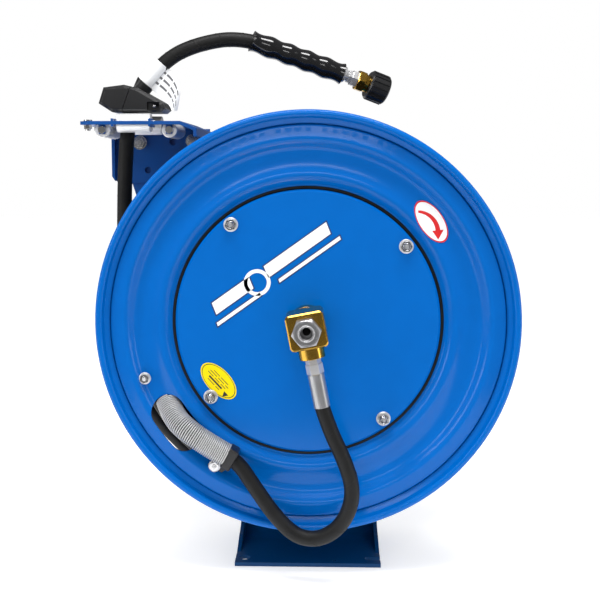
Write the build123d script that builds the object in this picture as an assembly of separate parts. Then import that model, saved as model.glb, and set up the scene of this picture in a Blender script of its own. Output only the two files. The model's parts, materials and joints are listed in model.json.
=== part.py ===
"""Spring-rewind hose reel on a single pedestal, with its roller guide, hose, swivel and fittings.

Millimetres, +Z up, +X to the right and +Y to the back. The origin is on the floor, below the reel's
axis and under the middle of the drum's width. The spool turns about the Y axis at height AXIS_Z.
"""
from build123d import *
from math import cos, pi, radians, sin, tan
import os

# ---- driving dimensions -------------------------------------------------
AXIS_Z = 296.0          # reel axis above the floor
HOSE_R = 8.75           # 3/8 in pressure-washer hose, outside radius

RIM_R = 242.6           # side disc, outside radius over the rolled rim
RIM_ROLL_R = 4.3        # radius of the rolled rim
RIM_FACE = 70.0         # rim's outermost face, from the drum's middle
SHEET = 2.0             # disc sheet thickness
FLANGE_R0, GAP_R = 128.0, 157.0         # disc's inner flange, from its bore to the gap round the plate
FLANGE_FACE = 44.5      # outer face of the disc's inner flange
PLATE_R, PLATE_FACE = 153.0, 50.0
STUD_CIRCLE_R = 143.0
STUD_ANGLES = (38, 128, 218, 308)
DRUM_R, DRUM_WALL = 160.0, 2.0
PACK_R, PACK_HALF = 212.2, 35.0

WEB_FACE, STEEL = 96.0, 4.8          # pedestal web's front face, plate thickness
FOOT_FRONT, FOOT_HALF = -40.0, 87.0
BEND_R = 66.0                        # inside radius where the web bends into the foot
WEB_TOP = AXIS_Z + 58
BOLT_HOLE_R, BOLT_HOLE_X, BOLT_HOLE_Y = 6.5, -76.0, -25.0
SLOT_HALF, SLOT_X = 4.5, 72.5

AXLE_R, RUN_GAP, HUB_R = 12.5, 0.05, 22.0
CASE_R, CASE_FACE = 135.0, 76.0
ARBOR_R = 17.0                       # the axle's collar that the rewind spring hooks to
RATCHET_R, RATCHET_TEETH = 72.0, 8
NOTCH_ANGLE, NOTCH_HALF, NOTCH_DEPTH = 14.0, 13.5, 12.0
RATCHET_Y = (81.0, 85.5)
PAWL_POS = (0.0, -101.0)             # pawl pivot, from the reel axis
PAWL_REACH, PAWL_REST = 37.0, 62.0   # nose length, and its lean from upright while disengaged

ARM_SHEET = 4.0
GUIDE_TOP = 230.8                    # top of the roller plate, above the axis
GUIDE_LEFT, GUIDE_RIGHT = -263.0, -127.0
ROLLER_R, PIN_R, LUG = 11.2, 3.0, 2.5
FRONT_ROLLER = (-222.5, -183.0, -22.0, 229.5)   # x0, x1, y, z above the axis
REAR_ROLLER = (-219.7, -177.3, 22.0, 228.0)
SIDE_ROLLER_X = (-237.7, -160.0)
SIDE_ROLLER_R, SIDE_ROLLER_HALF, SIDE_ROLLER_Z = 9.0, 33.0, 221.0

SWIVEL_TURN = 11.0                   # how far the swivel block stands turned about the reel axis
BLOCK_W, BLOCK_H, BLOCK_FRONT, BLOCK_BACK = 42.5, 40.5, -113.0, -73.0
OUTLET_Y = -93.0
FERRULE_END = 90.0                   # from the reel axis to the hose end of the jumper ferrule
GUARD_R = 14.0                       # wire guard over the jumper hose, outside radius
GUARD_START = 0.5                    # share of the clamp's run where the guard begins

# ---- hose routes, from the reel axis -----------------------------------
JUMPER_ROUTE = [
    (17.2, -93, -88.3), (25.5, -94, -114), (42, -95, -148), (52, -95.5, -180), (48, -95, -207),
    (34, -93, -229.5), (12, -91, -242), (-13, -87.5, -239.5), (-38, -81.5, -216.5),
    (-62, -73.5, -184.5), (-80, -66.5, -160), (-109, -66.5, -143.5), (-136, -66.5, -125.5),
    (-155, -56, -111.5), (-162.5, -44.5, -98),
]
OUTLET_R = PACK_R + 0.3 + HOSE_R
OUTLET_DROP = OUTLET_R * tan(radians(22.5))
OUTLET_ROUTE = [
    (3, 0, -OUTLET_R), (-OUTLET_DROP, 0, -OUTLET_R), (-OUTLET_R, 0, -OUTLET_DROP), (-222.3, 0, 20),
    (-221.2, 0, 112), (-218.5, 0, 193), (-211, 0, 257), (-168, 0, 306), (-128, 0, 323.5),
    (-80, 0, 330.2), (-20, 16, 312.5), (34, 30.4, 292.6),
]


# ---- helpers ------------------------------------------------------------
def up(shape):
    """Lift a shape from the reel axis to its height above the floor."""
    return Pos(0, 0, AXIS_Z) * shape


def box(x0, x1, y0, y1, z0, z1):
    middle = Pos((x0 + x1) / 2, (y0 + y1) / 2, (z0 + z1) / 2)
    return middle * Box(abs(x1 - x0), abs(y1 - y0), abs(z1 - z0))


def rod_y(radius, y0, y1, x=0.0, z=0.0):
    return Pos(x, (y0 + y1) / 2, z) * Rot(90, 0, 0) * Cylinder(radius, abs(y1 - y0))


def ring_y(outer, inner, y0, y1, x=0.0, z=0.0):
    return rod_y(outer, y0, y1, x, z) - rod_y(inner, y0 - 1, y1 + 1, x, z)


def rod_x(radius, x0, x1, y=0.0, z=0.0):
    return Pos((x0 + x1) / 2, y, z) * Rot(0, 90, 0) * Cylinder(radius, abs(x1 - x0))


def rod_z(radius, z0, z1, x=0.0, y=0.0):
    return Pos(x, y, (z0 + z1) / 2) * Cylinder(radius, abs(z1 - z0))


def hex_y(across_flats, y0, y1, x=0.0, z=0.0, turn=0.0):
    """A hexagonal bar along Y."""
    outline = Plane.XZ * (Rot(0, 0, turn) * RegularPolygon(across_flats / 2, 6, major_radius=False))
    return Pos(x, y1, z) * extrude(outline, y1 - y0)


def hex_z(across_flats, z0, z1, x=0.0, y=0.0):
    return Pos(x, y, z0) * extrude(RegularPolygon(across_flats / 2, 6, major_radius=False), z1 - z0)


def lathe(edges):
    """Turn a closed outline, drawn as (radius, y), about the Y axis."""
    return revolve(make_face(edges), axis=Axis.Y)


def lathe_points(points):
    return lathe(Polyline(*points, close=True))


def plate_xz(points, y0, y1):
    """A flat plate with the outline given as (x, z) points."""
    face = make_face(Polyline(*[(x, 0, z) for x, z in points], close=True))
    return Pos(0, y0, 0) * extrude(face, y1 - y0, dir=(0, 1, 0))


def polar(radius, angle):
    return radius * cos(radians(angle)), radius * sin(radians(angle))


def corner_radii(route):
    """Each corner's arc takes 0.45 of its shorter run."""
    points = [Vector(*p) for p in route]
    radii = []
    for before, corner, after in zip(points, points[1:], points[2:]):
        turn = (corner - before).get_angle(after - corner)
        shorter = min((corner - before).length, (after - corner).length)
        radii.append(0.45 * shorter / tan(radians(turn) / 2))
    return radii


def tube(route, outer, inner=0.0, radii=None):
    """A round tube along straight runs and tangent arcs."""
    path = FilletPolyline(*route, radius=radii or corner_radii(route))
    start = Plane(path @ 0, z_dir=path % 0)
    section = start * Circle(outer)
    if inner:
        section -= start * Circle(inner)
    return sweep(section, path=path)


def swivel_frame(distance, y=OUTLET_Y):
    """A place on the swivel's outlet line, with its Z axis pointing back to the reel axis."""
    return Pos(0, y, 0) * Rot(0, -SWIVEL_TURN, 0) * Pos(0, 0, -distance)


def outlet_frame(distance):
    """A place on the outlet fittings' axis, with Z along the axis, away from the hose."""
    before, end = Vector(*OUTLET_ROUTE[-2]), Vector(*OUTLET_ROUTE[-1])
    along = (end - before).normalized()
    return Plane(end + along * distance, x_dir=(0, 1, 0), z_dir=along).location


# ---- side discs and drum ------------------------------------------------
def side_disc():
    """A pressed steel side: inner flange, bead, trough, raised ring and rolled rim."""
    roll_r, roll_y = RIM_R - RIM_ROLL_R, -(RIM_FACE - RIM_ROLL_R)
    face = [
        (GAP_R, -FLANGE_FACE), (160, -46.2), (165, -51.6), (169.5, -53.6), (177, -52.0), (186, -50.4),
        (195, -50.8), (200, -52.8), (205.5, -58.4), (211, -61.6), (218, -60.6), (226, -59.2), (233.4, -60.6),
    ]
    back = [(r, y + SHEET) for r, y in reversed(face)]
    roll_start = (roll_r - RIM_ROLL_R * cos(radians(25)), roll_y + RIM_ROLL_R * sin(radians(25)))
    roll_end = (roll_r - RIM_ROLL_R * cos(radians(115)), roll_y + RIM_ROLL_R * sin(radians(115)))
    edges = [
        Line((FLANGE_R0, -FLANGE_FACE), face[0]),
        Spline(*face, tangents=[(1, 0), (1, -0.6)]),
        Line(face[-1], roll_start),
        ThreePointArc(roll_start, (RIM_R, roll_y), roll_end),
        Line(roll_end, back[0]),
        Spline(*back, tangents=[(-1, 0.6), (-1, 0)]),
        Line(back[-1], (FLANGE_R0, -FLANGE_FACE + SHEET)),
        Line((FLANGE_R0, -FLANGE_FACE + SHEET), (FLANGE_R0, -FLANGE_FACE)),
    ]
    return lathe(edges)


def hose_slot():
    """The long hole that the hose passes through, curved round the reel axis."""
    radius, half, first, last = 192.5, 19.3, 213.0, 223.0
    cutter = ring_y(radius + half, radius - half, -80, -30)
    wedge = plate_xz([(0, 0), polar(400, first), polar(400, last)], -80, -30)
    cutter &= wedge
    for angle in (first, last):
        x, z = polar(radius, angle)
        cutter += rod_y(half, -80, -30, x, z)
    return cutter


def front_disc():
    disc = side_disc() - hose_slot()
    for radius, angle in ((199.0, 199.1), (199.0, 237.2)):
        x, z = polar(radius, angle)
        disc -= rod_y(3.0, -80, -30, x, z)
    for angle in STUD_ANGLES:
        x, z = polar(STUD_CIRCLE_R, angle)
        disc -= rod_y(4.0, -80, -30, x, z)
    return up(disc)


def rear_disc():
    disc = Rot(0, 0, 180) * side_disc()
    for angle in STUD_ANGLES:
        x, z = polar(STUD_CIRCLE_R, angle)
        disc -= rod_y(4.0, 30, 80, x, z)
    return up(disc)


def drum_shell():
    """The drum that the hose winds on: a rolled cylinder with a turned-in flange at each side."""
    end = FLANGE_FACE - SHEET
    inner = DRUM_R - DRUM_WALL
    shell = lathe_points([
        (FLANGE_R0, -end), (DRUM_R, -end), (DRUM_R, end), (FLANGE_R0, end), (FLANGE_R0, end - DRUM_WALL),
        (inner, end - DRUM_WALL), (inner, -end + DRUM_WALL), (FLANGE_R0, -end + DRUM_WALL),
    ])
    for angle in STUD_ANGLES:
        x, z = polar(STUD_CIRCLE_R, angle)
        shell -= rod_y(4.0, -80, 80, x, z)
    return up(shell)


def centre_plate():
    """The pan over the drum's front, bolted through the disc's flange."""
    back = FLANGE_FACE
    pan = lathe_points([
        (16, -PLATE_FACE), (PLATE_R - 2.5, -PLATE_FACE), (PLATE_R, -PLATE_FACE + 2.5), (PLATE_R, -back),
        (PLATE_R - SHEET, -back), (PLATE_R - SHEET, -PLATE_FACE + 2.9),
        (PLATE_R - 2.9, -PLATE_FACE + SHEET), (16, -PLATE_FACE + SHEET),
    ])
    for angle in STUD_ANGLES:
        x, z = polar(STUD_CIRCLE_R, angle)
        pan -= rod_y(4.0, -80, -30, x, z)
    return up(pan)


def front_studs():
    """Four studs from the drum's flange through disc and plate, each with a sleeve and a flange nut."""
    group = []
    for number, angle in enumerate(STUD_ANGLES):
        x, z = polar(STUD_CIRCLE_R, angle)
        stud = rod_y(3.9, -PLATE_FACE - 6.5, -36, x, z)
        stud += rod_y(7.0, -PLATE_FACE + SHEET, -FLANGE_FACE, x, z)
        stud += rod_y(7.8, -PLATE_FACE - 1.4, -PLATE_FACE, x, z)
        stud += hex_y(11.5, -PLATE_FACE - 5.6, -PLATE_FACE - 1.4, x, z, turn=11 * number)
        stud += hex_y(11.5, -40.5, -36, x, z)
        group.append(up(stud))
    return group


def rear_bolts():
    group = []
    for number, angle in enumerate(STUD_ANGLES):
        x, z = polar(STUD_CIRCLE_R, angle)
        bolt = rod_y(3.9, 36, 52, x, z)
        bolt += hex_y(11.5, 46.5, 51, x, z, turn=9 * number)
        bolt += hex_y(11.5, 36, 40.5, x, z)
        group.append(up(bolt))
    return group


def hub_tube():
    """The tube on the axis, with a flange behind the centre plate."""
    inner = AXLE_R + 5.5
    return up(lathe_points([
        (inner, -48), (60, -48), (60, -45), (HUB_R, -45), (HUB_R, 36), (60, 36), (60, 39), (inner, 39),
    ]))


def bearing(y0, y1):
    """A plain bush that runs on the axle."""
    return up(ring_y(AXLE_R + 5.5, AXLE_R + RUN_GAP, y0, y1))


# ---- rewind spring and ratchet -----------------------------------------
def spring_case():
    """The pan that holds the rewind spring, bolted to the rear disc's flange."""
    rim, well = 150.0, FLANGE_R0 - 2
    seat, floor = FLANGE_FACE, 39.0
    pan = lathe_points([
        (19, floor), (well, floor), (well, seat), (rim, seat), (rim, seat + SHEET), (CASE_R, seat + SHEET),
        (CASE_R, CASE_FACE), (CASE_R - SHEET, CASE_FACE), (CASE_R - SHEET, seat + SHEET),
        (well - SHEET, seat + SHEET), (well - SHEET, floor + SHEET), (19, floor + SHEET),
    ])
    for angle in STUD_ANGLES:
        x, z = polar(STUD_CIRCLE_R, angle)
        pan -= rod_y(4.0, 30, 80, x, z)
    return up(pan)


def spring_cover():
    """The case's lid, with a boss for the rear bush."""
    boss = AXLE_R + 9.5
    seat = AXLE_R + 5.5
    return up(lathe_points([
        (seat, CASE_FACE), (CASE_R, CASE_FACE), (CASE_R, CASE_FACE + SHEET), (boss, CASE_FACE + SHEET),
        (boss, 88), (seat, 88),
    ]))


def mainspring():
    """A flat steel strip wound from an eye round the axle out to the case's wall."""
    turns, first, last, strip = 9, ARBOR_R + 0.6, CASE_R - 6, 0.9
    steps = turns * 12
    inner, outer = [], []
    for step in range(steps + 1):
        share = step / steps
        radius = first + (last - first) * share
        x, z = polar(radius, 360 * turns * share)
        inner.append((x, 0, z))
        x, z = polar(radius + strip, 360 * turns * share)
        outer.append((x, 0, z))
    outline = [
        Spline(*inner), Line(inner[-1], outer[-1]), Spline(*reversed(outer)), Line(outer[0], inner[0]),
    ]
    return up(Pos(0, 47, 0) * extrude(make_face(outline), 25, dir=(0, 1, 0)))


def ratchet_wheel():
    """A flat wheel with square-sided notches, riveted to the spring case's lid."""
    y0, y1 = RATCHET_Y
    wheel = ring_y(RATCHET_R, AXLE_R + 10, y0, y1)
    wheel += ring_y(52, 36, CASE_FACE + SHEET, y0)
    notch = box(-NOTCH_HALF, NOTCH_HALF, y0 - 1, y1 + 1, -RATCHET_R - 6, NOTCH_DEPTH - RATCHET_R)
    for tooth in range(RATCHET_TEETH):
        wheel -= Rot(0, NOTCH_ANGLE + tooth * 360 / RATCHET_TEETH, 0) * notch
    return up(wheel)


def pawl():
    """The dog that swings into a notch to hold the hose out; here it leans clear of the wheel."""
    x, z = PAWL_POS
    y0, y1 = RATCHET_Y
    nose = plate_xz([(-4, PAWL_REACH), (4, PAWL_REACH), (8, 4), (8, -4), (-8, -4), (-8, 4)], y0, y1)
    body = Rot(0, -PAWL_REST, 0) * nose
    body += rod_y(9.5, y0, y1)
    body += rod_y(8, y1, y1 + 6)
    body -= rod_y(4.0 + RUN_GAP, y0 - 1, y1 + 7)
    return up(Pos(x, 0, z) * body)


def pawl_pin():
    x, z = PAWL_POS
    pin = rod_y(4.0, RATCHET_Y[0] - 2, WEB_FACE + STEEL + 8, x, z)
    pin += rod_y(6.5, RATCHET_Y[0] - 2, RATCHET_Y[0] - 0.5, x, z)
    pin += hex_y(13, WEB_FACE + STEEL, WEB_FACE + STEEL + 6, x, z)
    return up(pin)


def pawl_spring():
    """A spring coiled round the pivot, with one leg turned out along the web."""
    x, z = PAWL_POS
    front, back = RATCHET_Y[1] + 6.5, WEB_FACE
    coil = ring_y(7.2, 5.2, front, back, x, z)
    leg = box(x - 0.8, x + 0.8, back - 1.6, back, z - 24, z - 6.5)
    return up(coil + leg)


# ---- pedestal and axle --------------------------------------------------
def pedestal():
    """One bent plate: foot, large-radius bend and upright web, with side flanges turned forward."""
    start = WEB_FACE - BEND_R
    outer = BEND_R + STEEL
    corner = (start, outer)

    def at(radius, angle):
        y, z = polar(radius, angle)
        return (0, corner[0] + y, corner[1] + z)

    side = [
        Line((0, FOOT_FRONT, 0), (0, start, 0)),
        ThreePointArc((0, start, 0), at(outer, -45), (0, WEB_FACE + STEEL, outer)),
        Line((0, WEB_FACE + STEEL, outer), (0, WEB_FACE + STEEL, WEB_TOP)),
        Line((0, WEB_FACE + STEEL, WEB_TOP), (0, WEB_FACE, WEB_TOP)),
        Line((0, WEB_FACE, WEB_TOP), (0, WEB_FACE, outer)),
        ThreePointArc((0, WEB_FACE, outer), at(BEND_R, -45), (0, start, STEEL)),
        Line((0, start, STEEL), (0, FOOT_FRONT, STEEL)),
        Line((0, FOOT_FRONT, STEEL), (0, FOOT_FRONT, 0)),
    ]
    body = Pos(-FOOT_HALF, 0, 0) * extrude(make_face(side), 2 * FOOT_HALF, dir=(1, 0, 0))
    depth = 15.0
    flange = [
        Line((0, -8, STEEL), (0, start - 6, STEEL + 9)),
        ThreePointArc((0, start - 6, STEEL + 9), at(BEND_R - depth + 1, -44),
                      (0, WEB_FACE - depth, outer + 4)),
        Line((0, WEB_FACE - depth, outer + 4), (0, WEB_FACE - depth, AXIS_Z + 20)),
        Line((0, WEB_FACE - depth, AXIS_Z + 20), (0, WEB_FACE, AXIS_Z + 40)),
        Line((0, WEB_FACE, AXIS_Z + 40), (0, WEB_FACE + 1, AXIS_Z + 40)),
        Line((0, WEB_FACE + 1, AXIS_Z + 40), (0, WEB_FACE + 1, outer)),
        ThreePointArc((0, WEB_FACE + 1, outer), at(BEND_R + 1, -45), (0, start, STEEL - 1)),
        Line((0, start, STEEL - 1), (0, -8, STEEL - 1)),
        Line((0, -8, STEEL - 1), (0, -8, STEEL)),
    ]
    flange = extrude(make_face(flange), STEEL, dir=(1, 0, 0))
    body += Pos(-FOOT_HALF, 0, 0) * flange
    body += Pos(FOOT_HALF - STEEL, 0, 0) * flange
    body -= rod_z(BOLT_HOLE_R, -1, 10, BOLT_HOLE_X, BOLT_HOLE_Y)
    body -= rod_z(SLOT_HALF, -1, 10, SLOT_X, BOLT_HOLE_Y)
    body -= box(SLOT_X, FOOT_HALF + 1, BOLT_HOLE_Y - SLOT_HALF, BOLT_HOLE_Y + SLOT_HALF, -1, 10)
    body -= rod_z(2.5, -1, 10, 32, -32)
    body -= up(rod_y(10, WEB_FACE - 1, WEB_FACE + STEEL + 1))
    for x, z in [PAWL_POS] + ARM_BOLTS:
        body -= up(rod_y(4.0, WEB_FACE - 1, WEB_FACE + STEEL + 1, x, z))
    return body


def axle():
    """The fixed shaft: journal, spring collar, shoulder against the web and a threaded tail through it."""
    shaft = rod_y(AXLE_R, -46, 80)
    shaft += rod_y(ARBOR_R, 45, 74)
    shaft += rod_y(18, 89.5, WEB_FACE)
    shaft += rod_y(AXLE_R, 80, 90)
    shaft += rod_y(10, WEB_FACE, 124)
    shaft -= ring_y(AXLE_R + 1, AXLE_R - 1.2, -42.5, -41.2)
    return up(shaft)


def axle_clip():
    """A retaining ring in the axle's front groove."""
    ring = ring_y(17, AXLE_R - 1.1, -42.4, -41.3)
    ring -= box(-3.5, 3.5, -45, -38, 8, 20)
    return up(ring)


def axle_washer():
    y = WEB_FACE + STEEL
    return up(ring_y(19, 10, y, y + 3))


def axle_nut():
    y = WEB_FACE + STEEL + 3
    return up(hex_y(30, y, y + 15) - rod_y(10, y - 1, y + 16))


# ---- hose guide ---------------------------------------------------------
ARM_BACK = WEB_FACE + STEEL
ARM_BOLTS = [(-69, 2), (-20, 44), (-66, 44), (32, 44)]
BRACKET_BOLTS = [(-219.5, 209.5), (-151.0, 211.5)]
SPARE_HOLES = [(-177.0, 210.5), (-209.5, 174.0)]


def guide_arm():
    """A pressed arm from behind the web up to the roller bracket, with its edges turned back."""
    outline = [(-84, -40), (-34, 27), (54, 27), (54, 60), (-116, 205), (-136, 224), (-234, 224), (-234, 166),
               (-222, 128)]
    face = make_face(Polyline(*[(x, 0, z) for x, z in outline], close=True))
    face = fillet(face.vertices(), 5)
    arm = extrude(face, 16, dir=(0, 1, 0))
    hollow = extrude(offset(face, -ARM_SHEET), 16, dir=(0, 1, 0))
    arm -= Pos(0, ARM_SHEET, 0) * hollow
    arm = Pos(0, ARM_BACK, 0) * arm
    for x, z in ARM_BOLTS + BRACKET_BOLTS:
        arm -= rod_y(4.0, ARM_BACK - 1, ARM_BACK + ARM_SHEET + 1, x, z)
    return up(arm)


def arm_bolts():
    """Bolts that hold the arm to the web: head at the front, washer and nut behind."""
    group = []
    for x, z in ARM_BOLTS:
        bolt = rod_y(4.0, WEB_FACE, ARM_BACK + ARM_SHEET + 9, x, z)
        bolt += hex_y(13, WEB_FACE - 5.3, WEB_FACE, x, z)
        bolt += hex_y(13, ARM_BACK + ARM_SHEET, ARM_BACK + ARM_SHEET + 6.5, x, z)
        group.append(up(bolt))
    return group


def roller_bracket():
    """The upright panel bolted to the arm, with a plate turned forward over it for the rollers."""
    back = WEB_FACE + STEEL
    face = back - ARM_SHEET
    under = GUIDE_TOP - ARM_SHEET
    front = -45.0
    panel = plate_xz([(-254, under), (-254, 166), (-249, 157.5), (-129, 157.5), (-129, under)], face, back)
    panel += plate_xz([(-254, under), (-254, 166), (-250, 160), (-250, under)], face - 12, face)
    plate = plate_xz([(GUIDE_LEFT, GUIDE_TOP), (-146, GUIDE_TOP), (GUIDE_RIGHT, 222.9), (GUIDE_RIGHT, 213),
                      (GUIDE_RIGHT - ARM_SHEET, 213), (GUIDE_RIGHT - ARM_SHEET, 220.2), (-147, under),
                      (GUIDE_LEFT, under)], front, back)
    bracket = panel + plate
    bracket -= box(-250, -147.5, -34, 34, 205, 240)
    corner = Pos(GUIDE_LEFT, front, 229) * Rot(0, 0, 45) * Box(14, 14, 10)
    bracket -= corner
    for x0, x1, y, z in (FRONT_ROLLER, REAR_ROLLER):
        reach = (front if y < 0 else 45.0)
        for x in (x0 - 0.5 - LUG, x1 + 0.5):
            bracket += box(x, x + LUG, reach, y + (6 if y < 0 else -6), 224.6, z + 4.2)
        bracket -= rod_x(PIN_R, x0 - 6, x1 + 6, y, z)
    for x in SIDE_ROLLER_X:
        for y in (-SIDE_ROLLER_HALF - 1.0 - LUG, SIDE_ROLLER_HALF + 1.0):
            bracket += box(x - 3.8, x + 3.8, y, y + LUG, SIDE_ROLLER_Z - 4.5, under)
        bracket -= rod_y(PIN_R, -SIDE_ROLLER_HALF - 6, SIDE_ROLLER_HALF + 1 + LUG, x, SIDE_ROLLER_Z)
        bracket -= rod_y(PIN_R + 1.5, -SIDE_ROLLER_HALF - 6, -SIDE_ROLLER_HALF - 1 - LUG, x, SIDE_ROLLER_Z)
    for x, z in BRACKET_BOLTS:
        bracket -= rod_y(4.0, face - 1, back + 1, x, z)
    for x, z in SPARE_HOLES:
        bracket -= rod_y(4.3, face - 1, back + 1, x, z)
    for y in (-25, 25):
        bracket -= rod_z(3.0, 220, 235, -256.5, y)
    return up(bracket)


def bracket_bolts():
    """Carriage bolts through arm and bracket, with flange nuts on the front."""
    face = WEB_FACE + STEEL - ARM_SHEET
    group = []
    for number, (x, z) in enumerate(BRACKET_BOLTS):
        bolt = rod_y(4.0, face - 9, ARM_BACK + ARM_SHEET + 1, x, z)
        bolt += rod_y(9.0, face - 1.8, face, x, z)
        bolt += hex_y(13, face - 7.5, face - 1.8, x, z, turn=14 * number)
        bolt += rod_y(8.5, ARM_BACK + ARM_SHEET, ARM_BACK + ARM_SHEET + 3.5, x, z)
        group.append(up(bolt))
    return group


def plate_bolts():
    """Two upright bolts at the roller plate's left edge."""
    under = GUIDE_TOP - ARM_SHEET
    group = []
    for y in (-25, 25):
        bolt = rod_z(3.0, under - 6.5, GUIDE_TOP + 1, -256.5, y)
        bolt += rod_z(4.8, GUIDE_TOP, GUIDE_TOP + 2.2, -256.5, y)
        bolt += hex_z(8, under - 4.5, under, -256.5, y)
        group.append(up(bolt))
    return group


def roller_pins():
    group = []
    for x0, x1, y, z in (FRONT_ROLLER, REAR_ROLLER):
        pin = rod_x(PIN_R, x0 - 0.5 - LUG, x1 + 0.5 + LUG, y, z)
        pin += rod_x(PIN_R + 1.0, x1 + 0.5 + LUG, x1 + 1.5 + LUG, y, z)
        group.append(up(pin))
    reach = SIDE_ROLLER_HALF + 1 + LUG
    for x in SIDE_ROLLER_X:
        pin = rod_y(PIN_R, -reach, reach, x, SIDE_ROLLER_Z)
        pin += rod_y(PIN_R + 1.3, -reach - 1.5, -reach, x, SIDE_ROLLER_Z)
        group.append(up(pin))
    return group


def roller_along_x(x0, x1, y, z):
    body = chamfer(rod_x(ROLLER_R, x0, x1).edges().filter_by(GeomType.CIRCLE), 0.8)
    body -= rod_x(PIN_R + RUN_GAP, x0 - 1, x1 + 1)
    return up(Pos(0, y, z) * body)


def roller_along_y(x):
    half = SIDE_ROLLER_HALF
    body = chamfer(rod_y(SIDE_ROLLER_R, -half, half).edges().filter_by(GeomType.CIRCLE), 0.8)
    body -= rod_y(PIN_R + RUN_GAP, -half - 1, half + 1)
    return up(Pos(x, 0, SIDE_ROLLER_Z) * body)


# ---- swivel, jumper hose and its fixings on the front disc -----------------
def swivel_hub():
    """The round neck that carries the swivel block on the centre plate."""
    return up(lathe_points([
        (0, BLOCK_BACK), (17, BLOCK_BACK), (17, -70), (20.5, -68), (20.5, -PLATE_FACE),
        (15, -PLATE_FACE), (15, -48), (0, -48),
    ]))


def swivel_block():
    """The brass body: a rounded block with the inlet bore in front and the outlet boss below."""
    block = Pos(0, (BLOCK_FRONT + BLOCK_BACK) / 2, 0) * Box(BLOCK_W, BLOCK_BACK - BLOCK_FRONT, BLOCK_H)
    block = fillet(block.edges().filter_by(Axis.Y), 5.0)
    front = block.faces().sort_by(Axis.Y)[0]
    block = chamfer(front.edges(), 1.6)
    block = Rot(0, -SWIVEL_TURN, 0) * block
    block += swivel_frame(24) * Cylinder(14.7, 18)
    block -= rod_y(10.3, BLOCK_FRONT - 1, -86)
    block -= swivel_frame(26) * Cylinder(5, 30)
    return up(block)


def inlet_fitting():
    """The steel nipple that turns in the block: hexagon, journal and a threaded socket."""
    body = hex_y(29.0, -127, -113.7, turn=10)
    body = body & lathe_points([(0, -127), (14.0, -127), (16.8, -124.3), (16.8, -113.7), (0, -113.7)])
    body -= ring_y(12.6, 9.6, -128, -125.8)
    body += rod_y(10.0, -114, -87)
    body -= rod_y(7.5, -128, -112)
    body -= rod_y(4.5, -113, -86)
    return up(body)


def outlet_nipple():
    """Steel stem between the block's boss and the hose nut."""
    stem = swivel_frame(40) * extrude(RegularPolygon(7.6, 6, major_radius=False), 7)
    stem -= swivel_frame(36.5) * Cylinder(4, 20)
    return up(stem)


def outlet_nut():
    nut = swivel_frame(51) * extrude(RegularPolygon(8.4, 6, major_radius=False), 11)
    nut -= swivel_frame(45) * Cylinder(4, 30)
    return up(nut)


def jumper_ferrule():
    sleeve = swivel_frame(FERRULE_END) * Pos(0, 0, (FERRULE_END - 51) / 2) * Cylinder(9.2, FERRULE_END - 51)
    sleeve = chamfer(sleeve.edges().filter_by(GeomType.CIRCLE), 0.7)
    return up(sleeve)


def clamp_run():
    """Start, direction and length of the straight run that the clamp sits on."""
    first, second = Vector(*JUMPER_ROUTE[10]), Vector(*JUMPER_ROUTE[11])
    return first, (second - first).normalized(), (second - first).length


def spring_guard():
    """The close-wound wire guard, as the sleeve that the wire fills."""
    radii = corner_radii(JUMPER_ROUTE)
    first, along, length = clamp_run()
    begin = first + along * (length * GUARD_START)
    before, last = Vector(*JUMPER_ROUTE[-2]), Vector(*JUMPER_ROUTE[-1])
    end = before + (last - before) * 0.75
    route = [tuple(begin)] + JUMPER_ROUTE[11:-1] + [tuple(end)]
    return up(tube(route, GUARD_R, HOSE_R + 0.3, radii[10:]))


CLAMP_BOLT = polar(199.0, 237.2)
PLATE_BOLT = polar(199.0, 199.1)


def hose_clamp():
    """A moulded clip round the hose with a tab to its bolt."""
    first, along, length = clamp_run()
    centre = first + along * (length * 0.30)
    x, z = CLAMP_BOLT
    clip = Plane(centre, z_dir=along, x_dir=(0, 1, 0)) * Box(24, 25, 12)
    clip = chamfer(clip.edges(), 1.5)
    corners = [(centre.X - 12, centre.Z + 1), (centre.X + 4, centre.Z - 11), (x + 8, z - 8), (x - 8, z + 1)]
    tab = plate_xz(corners, -59.5, -54.0)
    clip += tab
    clip += rod_y(7.0, -59.5, -54.0, x, z)
    clip -= rod_y(3.2, -62, -50, x, z)
    return up(clip)


def disc_bolts():
    """The clamp's bolt and the spare bolt on the disc, with flange nuts."""
    group = []
    for (x, z), face in ((CLAMP_BOLT, -59.5), (PLATE_BOLT, -57.0)):
        bolt = rod_y(2.95, face - 5.5, -47, x, z)
        bolt += rod_y(6.2, face - 1.2, face, x, z)
        bolt += hex_y(9.5, face - 4.6, face - 1.2, x, z, turn=20)
        if face > -58:
            bolt += rod_y(4.6, face, -50.5, x, z)
        group.append(up(bolt))
    return group


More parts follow.
